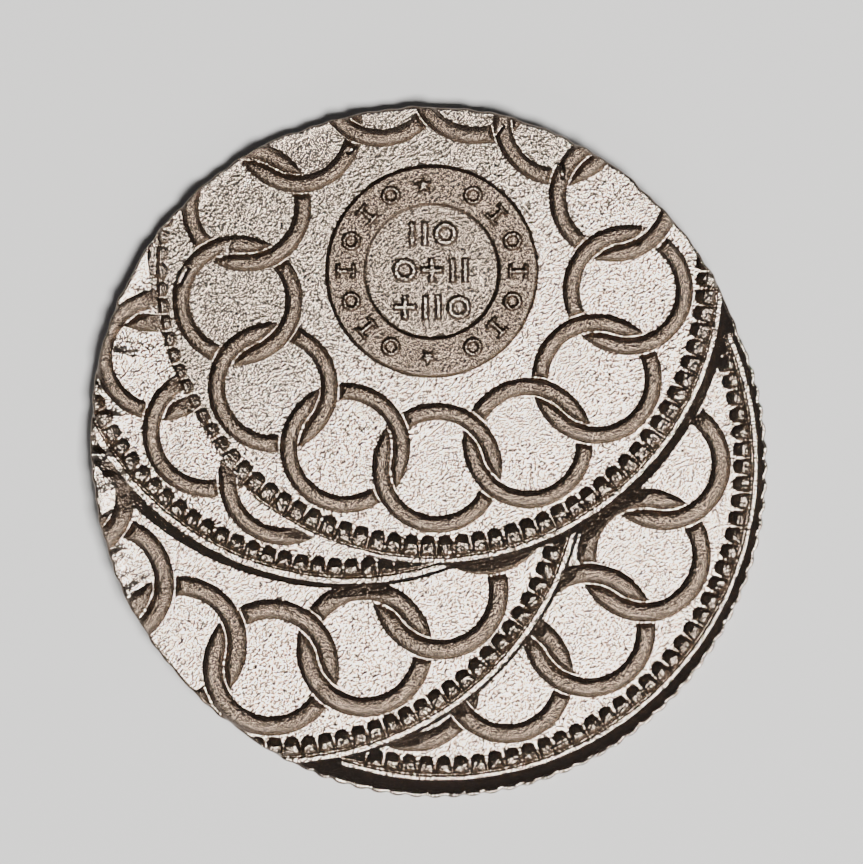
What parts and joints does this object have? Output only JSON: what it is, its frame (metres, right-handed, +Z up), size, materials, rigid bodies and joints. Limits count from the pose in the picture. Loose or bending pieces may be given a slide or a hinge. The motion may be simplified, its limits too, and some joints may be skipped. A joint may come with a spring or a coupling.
{
  "type": "multi-struck metal token",
  "caption": "Round metal token struck several times off centre, with linked rings, toothed borders and a seal in low relief; pays a fare or marks an event.",
  "frame": {"origin": "middle of the bounding box, on the plane of the flat back rim that the token rests on", "axes": "+Z up through the struck front, +Y towards the side where the seal lies, +X to the right when the front is seen with the seal at the top"},
  "size_m": [0.0322, 0.033, 0.0023],
  "materials": {
    "struck_metal": "struck and handled silvery white metal, bright on the high floors and toned grey brown between the relief"
  },
  "bodies": {
    "root": {"struck_token": "struck_metal"}
  },
  "joints": []
}
